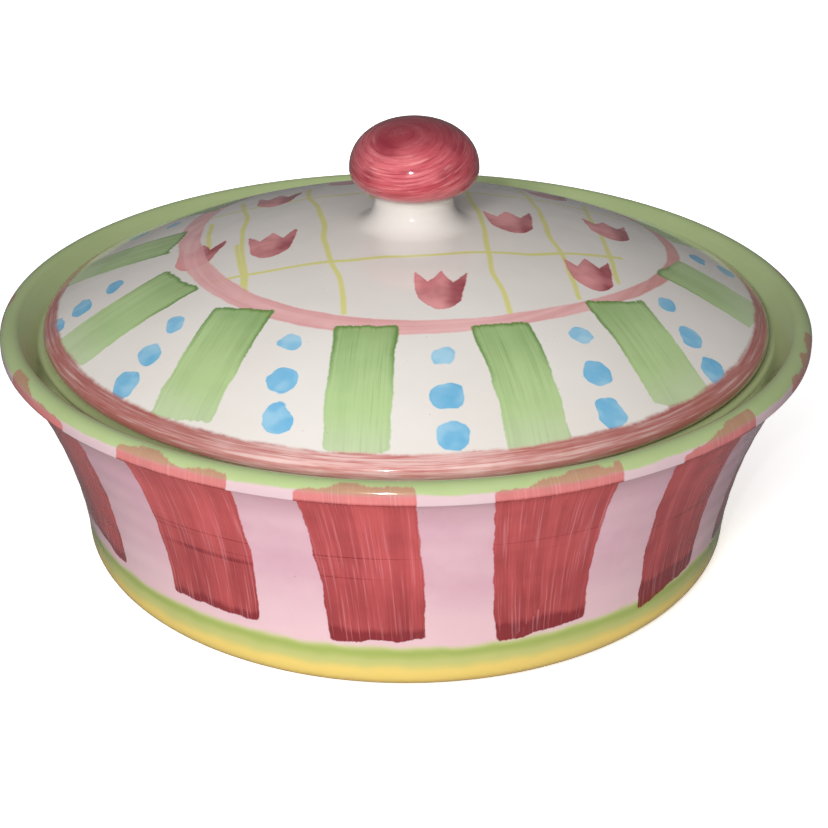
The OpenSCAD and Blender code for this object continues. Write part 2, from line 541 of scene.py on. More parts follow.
# %% Stroke group
stroke_group, takes, gives = group(
    "Brush stroke",
    [("Point", "Vector"), ("Start", "Vector"), ("End", "Vector"), ("Width", "Float"),
     ("Bow", "Float"), ("Side", "Float"), ("Ends", "Float"), ("Seed", "Float")],
    [("Inside", "Float"), ("Across", "Float")],
)
t = stroke_group
run = vector_node(t, "SUBTRACT", takes["End"], takes["Start"])
length = vector_node(t, "LENGTH", run)
heading = node(t, "ShaderNodeVectorMath", operation="NORMALIZE")
plug(t, run, heading.inputs[0])
from_start = vector_node(t, "SUBTRACT", takes["Point"], takes["Start"])
along = vector_node(t, "DOT_PRODUCT", from_start, heading.outputs[0])
cross = vector_node(t, "CROSS_PRODUCT", heading.outputs[0], from_start)
across = vector_node(t, "DOT_PRODUCT", cross, (0, 0, 1))
share = math_node(t, "DIVIDE", along, length)
hump = times(t, share, minus(t, 1, share))
across = plus(t, across, times(t, times(t, hump, 4), takes["Bow"]))
plug(t, plus(t, across, takes["Seed"]), gives["Across"])
side = minus(t, times(t, takes["Width"], 0.5), math_node(t, "ABSOLUTE", across))
side = plus(t, side, takes["Side"])
ends = math_node(t, "MINIMUM", along, minus(t, length, along))
ends = plus(t, ends, takes["Ends"])
plug(t, math_node(t, "SMOOTH_MIN", side, ends, 2.5), gives["Inside"])

# %% [markdown]
# ## A row of dots, a thin line and a tulip
# Three dots fill each white gap on the lid, small and pale near the ring and
# bigger towards the edge. Thin lines make the loose check in the middle, and
# each tulip is a cup with three points.

# %% Dots, line and tulip groups
dots_group, takes, gives = group(
    "Row of dots",
    [("Point", "Vector"), ("First", "Vector"), ("Last", "Vector"), ("Squeeze", "Vector"),
     ("Wander", "Float")],
    [("Inside", "Float")],
)
t = dots_group
best = None
for share, size in ((0.0, 4.0), (0.53, 5.2), (1.0, 5.6)):
    mix = node(t, "ShaderNodeMix", data_type="VECTOR")
    mix.inputs[0].default_value = share
    plug(t, takes["First"], mix.inputs[4])
    plug(t, takes["Last"], mix.inputs[5])
    gap = vector_node(t, "SUBTRACT", takes["Point"], mix.outputs[1])
    gap = vector_node(t, "MULTIPLY", gap, takes["Squeeze"])
    inside = minus(t, size, vector_node(t, "LENGTH", gap))
    best = inside if best is None else math_node(t, "MAXIMUM", best, inside)
plug(t, plus(t, best, takes["Wander"]), gives["Inside"])

line_group, takes, gives = group(
    "Thin line",
    [("Point", "Vector"), ("Start", "Vector"), ("End", "Vector"), ("Width", "Float")],
    [("Inside", "Float")],
)
t = line_group
run = vector_node(t, "SUBTRACT", takes["End"], takes["Start"])
from_start = vector_node(t, "SUBTRACT", takes["Point"], takes["Start"])
reached = vector_node(t, "DOT_PRODUCT", from_start, run)
share = math_node(t, "DIVIDE", reached, vector_node(t, "DOT_PRODUCT", run, run))
share = ramp(t, share, 0.0, 1.0, curve="LINEAR")
nearest = node(t, "ShaderNodeVectorMath", operation="SCALE")
plug(t, run, nearest.inputs[0])
plug(t, share, nearest.inputs["Scale"])
gap = vector_node(t, "DISTANCE", from_start, nearest.outputs[0])
plug(t, minus(t, times(t, takes["Width"], 0.5), gap), gives["Inside"])

tulip_group, takes, gives = group(
    "Tulip",
    [("Point", "Vector"), ("Base", "Vector"), ("Turn", "Float"), ("Size", "Float"),
     ("Wander", "Float")],
    [("Inside", "Float"), ("Right petal", "Float")],
)
t = tulip_group
local = vector_node(t, "SUBTRACT", takes["Point"], takes["Base"])
turn = node(t, "ShaderNodeVectorRotate", rotation_type="Z_AXIS")
plug(t, local, turn.inputs["Vector"])
plug(t, takes["Turn"], turn.inputs["Angle"])
apart = node(t, "ShaderNodeSeparateXYZ")
plug(t, turn.outputs[0], apart.inputs[0])
x = math_node(t, "DIVIDE", apart.outputs[0], takes["Size"])
y = math_node(t, "DIVIDE", apart.outputs[1], takes["Size"])
wide = math_node(t, "ABSOLUTE", x)
tips = math_node(t, "PINGPONG", wide, 4.4)
top = minus(t, 23.5, times(t, tips, 1.6))
top = plus(t, top, times(t, x, 0.12))
upper = times(t, minus(t, top, y), 0.5)
flare = plus(t, 6.8, times(t, y, 0.12))
sides = minus(t, flare, wide)
cup = minus(t, y, times(t, times(t, wide, wide), 0.11))
inside = math_node(t, "MINIMUM", math_node(t, "MINIMUM", upper, sides), cup)
plug(t, plus(t, inside, takes["Wander"]), gives["Inside"])
plug(t, ramp(t, x, 0.5, 5.0), gives["Right petal"])

# %% [markdown]
# ## A film of paint
# Underglaze colour is thin, so the brush leaves it lighter in the middle and
# darker where it pools at an edge. This group turns "millimetres inside" and
# bristle streaks into how much of the ground is covered and how thick the paint is.

# %% Film group
film_group, takes, gives = group(
    "Paint film",
    [("Inside", "Float"), ("Streaks", "Float"), ("Mottle", "Float"), ("Soft", "Float"),
     ("Pool", "Float")],
    [("Cover", "Float"), ("Thick", "Float")],
)
t = film_group
shown = ramp(t, takes["Inside"], times(t, takes["Soft"], -1), takes["Soft"])
edge = ramp(t, takes["Inside"], 0.2, takes["Pool"], 1.0, 0.0)
streak = ramp(t, takes["Streaks"], 0.38, 0.62)
patch = ramp(t, takes["Mottle"], 0.3, 0.7)
body = plus(t, times(t, streak, 0.5), times(t, patch, 0.35))
thick = plus(t, body, times(t, edge, 0.22))
plug(t, shown, gives["Cover"])
plug(t, times(t, thick, shown), gives["Thick"])

# %% [markdown]
# ## Glazed finish
# Every piece has the same clear glaze over its colours: hard and shiny, a little
# uneven, with tiny specks burnt through here and there. `glazed` builds the
# material around a painted colour and the thickness of the paint under the glaze.

# %% Glaze
glaze_group, takes, gives = group(
    "Clear glaze",
    [("Colour", "Color"), ("Thick", "Float")],
    [("Colour", "Color"), ("Roughness", "Float"), ("Coat", "Float"), ("Normal", "Vector")],
)
t = glaze_group
place = use(t, place_group)
speck_spot = noise(t, place["Point"], 1.1, 1.0)
specks = ramp(t, speck_spot, 0.79, 0.83)
cloud = ramp(t, noise(t, place["Point"], 0.02, 2.0), 0.3, 0.7, 0.0, 0.07)
shaded = blend(t, cloud, takes["Colour"], tone(190, 170, 140), "MULTIPLY")
shaded = blend(t, times(t, specks, 0.55), shaded, tone(120, 80, 55))
plug(t, shaded, gives["Colour"])
plug(t, ramp(t, noise(t, place["Point"], 0.3, 2.0), 0.3, 0.7, 0.10, 0.17), gives["Roughness"])
plug(t, ramp(t, place["Mottle"], 0.3, 0.7, 0.35, 0.6), gives["Coat"])
wave = times(t, noise(t, place["Point"], 0.06, 1.0), 0.5)
ripple = times(t, noise(t, place["Point"], 0.35, 1.0), 0.05)
relief = plus(t, plus(t, wave, ripple), times(t, takes["Thick"], 0.06))
bump = node(t, "ShaderNodeBump")
bump.inputs["Strength"].default_value = 0.35
bump.inputs["Distance"].default_value = 0.001
plug(t, relief, bump.inputs["Height"])
plug(t, bump.outputs[0], gives["Normal"])


def glazed(name, paint):
    """A glazed material. paint(tree, place) returns the painted colour and thickness."""
    material = bpy.data.materials.new(name)
    material.use_nodes = True
    tree = material.node_tree
    shader = tree.nodes["Principled BSDF"]
    colour, thick = paint(tree, use(tree, place_group))
    finish = use(tree, glaze_group, Colour=colour, Thick=thick)
    plug(tree, finish["Colour"], shader.inputs["Base Color"])
    plug(tree, finish["Roughness"], shader.inputs["Roughness"])
    plug(tree, finish["Coat"], shader.inputs["Coat Weight"])
    plug(tree, finish["Normal"], shader.inputs["Normal"])
    shader.inputs["Coat Roughness"].default_value = 0.04
    shader.inputs["Coat IOR"].default_value = 1.5
    print("material", name, "with", len(tree.nodes), "nodes")
    return material


def film_of(tree, place, inside, streaks, soft, pool, mottle=None):
    """One film of paint; its patches follow the pot's mottle unless told otherwise."""
    mottle = place["Mottle"] if mottle is None else mottle
    return use(
        tree, film_group, Inside=inside, Streaks=streaks, Mottle=mottle, Soft=soft, Pool=pool,
    )


def strongest(tree, values):
    best = values[0]
    for value in values[1:]:
        best = math_node(tree, "MAXIMUM", best, value)
    return best


def brushed(tree, strokes, along):
    """The innermost of several strokes, and bristle streaks that run along it."""
    inside, across = strokes[0]["Inside"], strokes[0]["Across"]
    for stroke in strokes[1:]:
        nearer = math_node(tree, "GREATER_THAN", stroke["Inside"], inside)
        across = ramp(tree, nearer, 0.0, 1.0, across, stroke["Across"], curve="LINEAR")
        inside = math_node(tree, "MAXIMUM", inside, stroke["Inside"])
    lane = node(tree, "ShaderNodeCombineXYZ")
    plug(tree, across, lane.inputs[0])
    plug(tree, times(tree, along, 0.022), lane.inputs[1])
    bristles = noise(tree, lane.outputs[0], 1.1, 2.0, 0.65)
    passes = noise(tree, lane.outputs[0], 0.16, 1.0)
    streaks = times(tree, plus(tree, bristles, passes), 0.5)
    return inside, streaks, bristles


# %% [markdown]
# ## The paints
# Each paint has a pale value, where the film is thin and the white ground shows
# through, and a deep one, where it's thick. `tone` takes them as screen colours.

# %% Colours
WHITE = tone(238, 232, 226)
GREEN_PALE = tone(184, 212, 148)
GREEN_DEEP = tone(98, 142, 62)
PINK_PALE = tone(246, 190, 190)
PINK_DEEP = tone(214, 130, 130)
PINK_DARK_RIGHT = tone(206, 120, 106)
BLUE_PALE = tone(172, 218, 240)
BLUE_DEEP = tone(84, 178, 224)
ROSE_PALE = tone(240, 164, 164)
ROSE_DEEP = tone(150, 52, 66)
YELLOW = tone(228, 224, 124)
LAVENDER = tone(208, 166, 180)
LAVENDER_PALE = tone(216, 178, 188)
LAVENDER_LOW = tone(228, 198, 202)
LIP_GREY = tone(210, 192, 194)
# painted shade for the wall just below the lip
UNDER_LIP_SHADE = tone(160, 122, 124)
RIM_PALE = tone(172, 190, 134)
RIM_DEEP = tone(184, 200, 148)
KNOB_PALE = tone(218, 112, 120)
KNOB_MID = tone(196, 78, 90)
KNOB_WINE = tone(138, 38, 54)
KNOB_HAIR = tone(244, 176, 172)
KNOB_JOINT = tone(110, 36, 46)
FOOT_GREEN = tone(186, 190, 118)
FOOT_GREEN_DEEP = tone(160, 176, 96)
FOOT_GREEN_PALE = tone(196, 200, 140)
FOOT_OCHRE = tone(196, 160, 80)
FOOT_YELLOW = tone(226, 200, 112)
RED_PALE = tone(194, 84, 84)
RED_DEEP = tone(128, 30, 36)
# painted highlight for the red on the lip's curve
RED_LIP_HIGHLIGHT = tone(226, 150, 146)
RED_ON_GREEN = tone(158, 116, 92)
BAND_PALE = tone(255, 218, 212)
BAND_DEEP = tone(200, 110, 106)
BAND_BROWN = tone(150, 78, 66)
BAND_RED_AND_SHADE = tone(158, 72, 64)

# %% [markdown]
# ## Painting the lid
# The order is the potter's: thin yellow lines, tulips, the pink ring, green
# stripes, blue dots, then the pink band along the edge. Places are in
# millimetres from the axis, with the front towards minus Y.

# %% Places on the lid
STRIPES = [  # inner end, outer end, width, bow
    ((-13, -75), (-15.5, -128), 21.5, 0.5),
    ((31, -72), (42, -125), 21, -1.5),
    ((72, -47), (92, -92), 24, -0.5),
    ((97, -5), (129, -21), 26, 0),
    ((-55, -58), (-73, -106), 23, 0.5),
    ((-80, -28), (-118, -54), 26, 0.5),
    ((-86, 12), (-127, 20), 24, 0),
    ((-70, 60), (-103, 78), 24, 0.5),
    ((-28, 86), (-45, 122), 23, 0),
    ((20, 97), (28, 128), 24, 0.5),
    ((66, 80), (82, 101), 25, 0),
    ((97, 42), (117, 56), 25, 0),
]
DOT_ROWS = [  # first dot, last dot
    ((12, -90), (14.5, -122)),
    ((-38, -80), (-41, -113)),
    ((-79, -58), (-93, -83)),
    ((-107, -15), (-127, -29)),
    ((59, -72), (66, -105)),
    ((92, -39), (104, -71)),
    ((112, 19), (133, 18)),
    ((-92, 44), (-121, 56)),
    ((-56, 84), (-77, 109)),
    ((-4, 102), (-8, 130)),
    ((48, 96), (60, 118)),
    ((93, 68), (109, 79)),
]
LINES = [  # start, end
    ((-76, 23), (-71, -23)), ((-64, 52), (-60, 2)), ((-60, 2), (-55, -53)),
    ((-61, -8), (-57, -44)), ((-40, 60), (-26, -35)), ((-26, -35), (-21, -68)),
    ((20, 88), (27, 10)), ((27, 10), (29, -27)), ((29, -27), (34, -66)),
    ((44, 82), (53, -10)), ((53, -10), (60, -50)), ((70, 55), (75, -34)),
    ((-10, 92), (-12, 30)), ((-67, -37), (0, -34)), ((0, -34), (43, -25)),
    ((43, -25), (78, -13)), ((-76, 35), (0, 40)), ((0, 40), (88, 44)),
]
TULIPS = [  # base, turn, size
    ((11, -67), 0.05, 1.0), ((-49, -25), 0.0, 0.95), ((-78, -22), 0.15, 0.9),
    ((-52, 33), 0.1, 0.9), ((40, -8), -0.1, 1.0), ((78, 6), -0.1, 0.95),
    ((67, -43), -0.12, 0.95), ((58, 52), -0.1, 0.95), ((8, 60), 0.0, 0.95),
    ((-25, 62), 0.1, 0.9),
]


def soft_edge(tree, place, loose, fine_share):
    """How far, in millimetres, a painted side wanders in or out here."""
    broad = times(tree, place["Wander"], loose)
    fine_edge = times(tree, place["Fine wander"], fine_share)
    return plus(tree, times(tree, broad, 0.4), fine_edge)


print(len(STRIPES), "stripes,", len(DOT_ROWS), "rows of dots,", len(TULIPS), "tulips")

# %% [markdown]
# ## Yellow lines and tulips
# The lines are drawn freely with a thin brush, so the point is nudged by slow noise
# before it's compared with straight lines. A tulip's right petal gets a second touch
# of the brush, which leaves it darker.

# %% Lines and tulips
LINE_WIDTH = 1.9


def add_lines(tree, place, point, colour):
    shift = node(tree, "ShaderNodeVectorMath", operation="SCALE")
    plug(tree, noise(tree, place["Point"], 0.03, 1.0, color=True), shift.inputs[0])
    shift.inputs["Scale"].default_value = 7.0
    drawn = vector_node(tree, "ADD", point, shift.outputs[0])
    drawn = vector_node(tree, "SUBTRACT", drawn, (3.5, 3.5, 3.5))
    drawn = vector_node(tree, "MULTIPLY", drawn, (1, 1, 0))
    lines = []
    for a, b in LINES:
        line = use(tree, line_group, Point=drawn, Start=(*a, 0), End=(*b, 0), Width=LINE_WIDTH)
        lines.append(line["Inside"])
    film = film_of(tree, place, strongest(tree, lines), place["Out streaks"], 0.5, 1.0)
    middle = ramp(tree, place["Radius"], 93, 96, 1.0, 0.0)
    cover = times(tree, times(tree, film["Cover"], 0.85), middle)
    return blend(tree, cover, colour, YELLOW)


def add_tulips(tree, place, point, edge, colour):
    cups = []
    petals = []
    for base, turn, size in TULIPS:
        cup = use(
            tree, tulip_group, Point=point, Base=(*base, 0), Turn=turn, Size=size, Wander=edge,
        )
        cups.append(cup["Inside"])
        petals.append(times(tree, cup["Right petal"], ramp(tree, cup["Inside"], -1, 1)))
    film = film_of(tree, place, strongest(tree, cups), place["Mottle"], 0.4, 1.0)
    blot = times(tree, strongest(tree, petals), 0.45)
    deep = plus(tree, times(tree, film["Thick"], 0.6), blot)
    rose = blend(tree, deep, ROSE_PALE, ROSE_DEEP)
    return blend(tree, film["Cover"], colour, rose), film["Thick"]


# %% [markdown]
# ## The pink ring
# The ring isn't a true circle and isn't quite in the middle: its radius swells three
# times round, and it is narrower and darker towards the right.

# %% Ring
RING_CENTRE = (7.5, 16, 0)
RING_R = 91.5


def add_ring(tree, place, point, edge, colour):
    off = vector_node(tree, "SUBTRACT", point, RING_CENTRE)
    apart = node(tree, "ShaderNodeSeparateXYZ")
    plug(tree, off, apart.inputs[0])
    x, y, _ = apart.outputs
    way = math_node(tree, "ARCTAN2", y, x)
    wave = math_node(tree, "COSINE", plus(tree, times(tree, way, 3), 2.88))
    reach = plus(tree, RING_R, times(tree, wave, -2.5))
    gap = math_node(tree, "ABSOLUTE", minus(tree, vector_node(tree, "LENGTH", off), reach))
    half = ramp(tree, x, -60, 80, 4.3, 2.4)
    inside = plus(tree, minus(tree, half, gap), times(tree, edge, 0.6))
    film = film_of(tree, place, inside, place["Round streaks"], 0.5, 1.5)
    pink = blend(tree, times(tree, film["Thick"], 0.6), PINK_PALE, PINK_DEEP)
    pink = blend(tree, ramp(tree, x, 45, 90, 0.0, 0.5), pink, PINK_DARK_RIGHT)
    return blend(tree, times(tree, film["Cover"], 0.9), colour, pink)


# %% [markdown]
# ## Green stripes and blue dots
# A stripe starts at the ring with a full brush and runs dry towards the edge, so
# the paint is deepest at its inner end. A dot is one dab, and its outline is lumpy.

# %% Stripes and dots
SEED_STEP = 40.0  # keeps the bristles of two strokes apart


def add_stripes(tree, place, point, edge, colour):
    ends = times(tree, minus(tree, place["Out streaks"], 0.5), 4.0)
    ragged = plus(tree, ends, times(tree, place["Wander"], 4.0))
    strokes = []
    for i, (a, b, width, bow) in enumerate(STRIPES):
        strokes.append(use(
            tree, stroke_group, Point=point, Start=(*a, 0), End=(*b, 0), Width=width, Bow=bow,
            Side=edge, Ends=ragged, Seed=SEED_STEP * i,
        ))
    inside, streaks, bristles = brushed(tree, strokes, place["Radius"])
    film = film_of(tree, place, inside, streaks, 0.35, 1.2)
    start_pool = ramp(tree, place["Radius"], 76, 110, 0.32, -0.12)
    outline = ramp(tree, inside, 0.2, 2.2, 0.55, 0.0)
    inner_end = times(tree, outline, ramp(tree, place["Radius"], 92, 112, 1.0, 0.0))
    hairs = ramp(tree, bristles, 0.56, 0.7, 0.0, 0.14)
    deep = plus(tree, times(tree, film["Thick"], 0.36), start_pool)
    deep = plus(tree, plus(tree, deep, inner_end), hairs)
    green = blend(tree, deep, GREEN_PALE, GREEN_DEEP)
    fading = ramp(tree, place["Radius"], 112, 130, 0.96, 0.72)
    return blend(tree, times(tree, film["Cover"], fading), colour, green), film["Thick"]


def add_dots(tree, place, point, colour):
    daub = noise(tree, place["Point"], 0.13, 1.0, 0.5)
    lobes = times(tree, minus(tree, daub, 0.5), 5.0)
    lobes = plus(tree, lobes, times(tree, place["Fine wander"], 0.9))
    rows = []
    for a, b in DOT_ROWS:
        sideways = (a[0] / math.hypot(*a)) ** 2
        squeeze = (0.96 + 0.4 * sideways, 1.0 - 0.14 * sideways, 0)
        row = use(
            tree, dots_group, Point=point, First=(*a, 0), Last=(*b, 0),
            Squeeze=squeeze, Wander=lobes,
        )
        rows.append(row["Inside"])
    inside = strongest(tree, rows)
    wash = noise(tree, place["Point"], 0.12, 2.0)
    film = film_of(tree, place, inside, daub, 0.35, 0.8, mottle=wash)
    outward = ramp(tree, place["Radius"], 85, 112, -0.1, 0.3)
    deep = plus(tree, times(tree, film["Thick"], 0.8), outward)
    blue = blend(tree, deep, BLUE_PALE, BLUE_DEEP)
    return blend(tree, times(tree, film["Cover"], 0.92), colour, blue), film["Thick"]


# %% [markdown]
# ## The pink band
# The edge is banded while the lid turns on a wheel, which leaves long streaks round
# it. The band is darker where it goes over the edge, and redder and darker away from
# the front, partly its own red and partly painted shade.

# %% Band, and the whole lid
BAND_START = 129.2


def add_band(tree, place, edge, colour):
    inside = plus(tree, minus(tree, place["Radius"], BAND_START), edge)
    film = film_of(tree, place, inside, place["Edge streaks"], 0.9, 1.0)
    band = blend(tree, film["Thick"], BAND_PALE, BAND_DEEP)
    over_edge = ramp(tree, place["Height"], 92.5, 88.0, 0.0, 0.4)
    smear = ramp(tree, place["Edge streaks"], 0.55, 0.68, 0.0, 0.4)
    band = blend(tree, math_node(tree, "MAXIMUM", over_edge, smear), band, BAND_BROWN)
    parts = node(tree, "ShaderNodeSeparateXYZ")
    plug(tree, place["Point"], parts.inputs[0])
    # Partly the band's own red and partly painted shade: darker and redder away from the front.
    away = ramp(tree, parts.outputs[1], -138, -108, 0.0, 0.75)
    band = blend(tree, away, band, BAND_RED_AND_SHADE)
    thin = ramp(tree, place["Edge streaks"], 0.3, 0.5, 0.72, 0.97)
    return blend(tree, times(tree, film["Cover"], thin), colour, band), film["Thick"]


def lid_paint(tree, place):
    point = vector_node(tree, "MULTIPLY", place["Point"], (1, 1, 0))
    edge = soft_edge(tree, place, 5.0, 0.9)
    colour = add_lines(tree, place, point, WHITE)
    colour, tulips = add_tulips(tree, place, point, edge, colour)
    colour = add_ring(tree, place, point, edge, colour)
    colour, stripes = add_stripes(tree, place, point, edge, colour)
    colour, dots = add_dots(tree, place, point, colour)
    colour, band = add_band(tree, place, edge, colour)
    return colour, strongest(tree, (tulips, stripes, dots, band))


lid_glaze = glazed("lid_glaze", lid_paint)

# %% [markdown]
# ## The dish's ground colours
# The wall is a clouded lavender, greyer on the lip, with painted shade darkening it
# just below the lip. Green and yellow bands go round the foot, and a green one covers the top of
# the rim.

# %% Ground and foot bands
RIM_GREEN_START = 90.6


def wall_ground(tree, place, loose):
    height = place["Height"]
    cloud = ramp(tree, place["Mottle"], 0.3, 0.7)
    colour = blend(tree, cloud, LAVENDER, LAVENDER_PALE)
    colour = blend(tree, ramp(tree, height, 50, 26, 0.0, 0.6), colour, LAVENDER_LOW)
    lip = ramp(tree, height, 86.2, 87.2)
    colour = blend(tree, times(tree, lip, 0.6), colour, LIP_GREY)
    # Painted shade: the wall darkens towards the underside of the lip.
    shade = ramp(tree, height, 72, 86, 0.0, 0.38)
    shade = times(tree, shade, ramp(tree, height, 86.2, 87, 1.0, 0.0))
    colour = blend(tree, shade, colour, UNDER_LIP_SHADE)

    foot_height = plus(tree, height, times(tree, loose, 0.5))
    low = ramp(tree, foot_height, 18.3, 21.2, 1.0, 0.0)
    green = blend(tree, ramp(tree, foot_height, 13, 17), FOOT_GREEN, FOOT_GREEN_DEEP)
    green = blend(tree, ramp(tree, foot_height, 17, 20.5), green, FOOT_GREEN_PALE)
    colour = blend(tree, low, colour, green)
    yellow_part = ramp(tree, foot_height, 8.5, 13.5, 1.0, 0.0)
    yellow = blend(tree, ramp(tree, height, 0, 7), FOOT_OCHRE, FOOT_YELLOW)
    return blend(tree, yellow_part, colour, yellow)


def add_rim(tree, place, up, colour):
    film = film_of(
        tree, place, minus(tree, up, RIM_GREEN_START), place["Mottle"], 0.5, 1.2,
        mottle=place["Fine wander"],
    )
    inward = ramp(tree, place["Radius"], 139, 147, 1.0, 0.0)
    deep = plus(tree, times(tree, film["Thick"], 0.5), times(tree, inward, 0.35))
    rim_green = blend(tree, deep, RIM_PALE, RIM_DEEP)
    inner_side = ramp(tree, place["Radius"], 144.4, 145.2, 1.0, 0.0)
    above = times(tree, inner_side, ramp(tree, place["Height"], 83.0, 84.0))
    return blend(tree, math_node(tree, "MAXIMUM", film["Cover"], above), colour, rim_green)


# %% [markdown]
# ## Red strokes on the wall
# The wall is unrolled for these: a stroke's places are degrees round from the front
# and heights. It is pulled down from the lip with a broad brush. Bristles leave light
# streaks, the paint gathers at the foot of the stroke, and the red is paler on the
# curve of the lip, a painted highlight where it faces the light. It must not reach the
# ledge inside the rim.

# %% Red strokes
WALL_STROKES = [  # degrees at the top, degrees at the bottom, bottom height, width in degrees
    (-6, -4.3, 22, 14.5), (-29.5, -30.8, 24, 16.2), (-56, -60, 25, 16),
    (17, 20.5, 21.5, 13.5), (20.5, 22.5, 21, 12), (42.5, 47, 18.5, 14),
    (69, 71, 21, 16), (94, 96, 22, 15), (119, 120, 21, 16), (144, 145, 22, 15),
    (167, 168, 23, 14), (-83, -86, 23, 16), (-109, -111, 22, 15),
    (-135, -136, 21, 16), (-161, -162, 22, 15),
]
DEGREE = 2.35  # millimetres along the wall for a degree
STROKE_TOP = 92.3
SCRATCH_SHARE = 0.4
CREASE_SHADE_SHARE = 0.55


def scratches_and_crease_shade(tree, place):
    """Fine level scratches in a belt of the wall, and painted shade in the crease below the lip.
    """
    height = place["Height"]
    spot = node(tree, "ShaderNodeCombineXYZ")
    plug(tree, times(tree, place["Around"], 0.02), spot.inputs[0])
    plug(tree, times(tree, height, 0.85), spot.inputs[2])
    scratches = ramp(tree, noise(tree, spot.outputs[0], 1.0, 2.0), 0.6, 0.66)
    belt = times(tree, ramp(tree, height, 46, 50), ramp(tree, height, 62, 68, 1.0, 0.0))
    scratches = times(tree, times(tree, scratches, belt), SCRATCH_SHARE)
    # Painted shade: the red deepens in the crease below the lip.
    rise = ramp(tree, height, 85.6, 86.4)
    crease = times(tree, rise, ramp(tree, height, 86.8, 87.6, 1.0, 0.0))
    return plus(tree, scratches, times(tree, crease, CREASE_SHADE_SHARE))


def add_red(tree, place, edge, loose, up, colour):
    height = place["Height"]
    wall = node(tree, "ShaderNodeCombineXYZ")
    plug(tree, times(tree, place["Around"], DEGREE), wall.inputs[0])
    plug(tree, height, wall.inputs[1])
    ends = times(tree, minus(tree, place["Up streaks"], 0.5), 3.0)
    ragged = plus(tree, ends, times(tree, place["Wander"], 5.0))
    strokes = []
    for i, (top, foot, low_z, width) in enumerate(WALL_STROKES):
        strokes.append(use(
            tree, stroke_group, Point=wall.outputs[0], Start=(top * DEGREE, STROKE_TOP, 0),
            End=(foot * DEGREE, low_z, 0), Width=width * DEGREE, Bow=0.0,
            Side=edge, Ends=ragged, Seed=1.5 * SEED_STEP * i,
        ))
    inside, streaks, bristles = brushed(tree, strokes, height)
    film = film_of(tree, place, inside, streaks, 0.3, 1.0)
    pooled = ramp(tree, plus(tree, height, loose), 25.0, 29.0, 0.6, 0.0)
    low_half = ramp(tree, height, 25, 70, 0.22, -0.05)
    deep = plus(tree, times(tree, film["Thick"], 0.7), pooled)
    deep = plus(tree, plus(tree, deep, low_half), scratches_and_crease_shade(tree, place))
    red = blend(tree, deep, RED_PALE, RED_DEEP)
    # Painted highlight: the red is paler where the curve of the lip faces the light.
    red = blend(tree, ramp(tree, height, 86.9, 88.0, 0.0, 0.5), red, RED_LIP_HIGHLIGHT)
    red = blend(tree, ramp(tree, up, 89.4, 91.2, 0.0, 0.55), red, RED_ON_GREEN)

    limit = ramp(tree, height, 87.5, 89.5, 142.0, 147.0)
    outside = ramp(tree, minus(tree, place["Radius"], limit), -0.5, 0.5)
    outside = math_node(tree, "MAXIMUM", outside, ramp(tree, height, 82, 83, 1.0, 0.0))
    dry = ramp(tree, bristles, 0.3, 0.46, 0.78, 0.97)
    cover = times(tree, times(tree, film["Cover"], outside), dry)
    cover = times(tree, cover, ramp(tree, height, 89.5, 91.0, 1.0, 0.8))
    return blend(tree, cover, colour, red), film["Thick"]


def dish_paint(tree, place):
    loose = times(tree, place["Wander"], 6.0)
    edge = soft_edge(tree, place, 6.0, 0.7)
    up = plus(tree, place["Height"], times(tree, edge, 0.6))
    colour = wall_ground(tree, place, loose)
    colour = add_rim(tree, place, up, colour)
    return add_red(tree, place, edge, loose, up, colour)


dish_glaze = glazed("dish_glaze", dish_paint)


# %% [markdown]
# ## The plain inside, the bare foot and the knob
# Inside, the clay has only its white ground under the glaze. The foot ring is
# wiped clean, so the kiln shelf doesn't stick to it, and shows buff clay. The knob
# is painted by turning the brush round and round on it.

# %% Plain insides, foot and knob
def inside_paint(tree, place):
    cloud = ramp(tree, place["Mottle"], 0.3, 0.7)
    colour = blend(tree, cloud, tone(238, 232, 224), tone(233, 226, 216))
    edge = times(tree, place["Fine wander"], 3.0)
    high = ramp(tree, plus(tree, place["Height"], edge), 80.5, 82.5)
    near = ramp(tree, place["Radius"], 120, 124)
    dish_lip = times(tree, times(tree, high, near), 0.7)
    colour = blend(tree, dish_lip, colour, tone(170, 192, 138))
    return colour, cloud


KNOB_MIDDLE = (3, 0, 144)
NOISE_START = (210, 170, 130)  # a stretch of the noise without a cell edge at zero


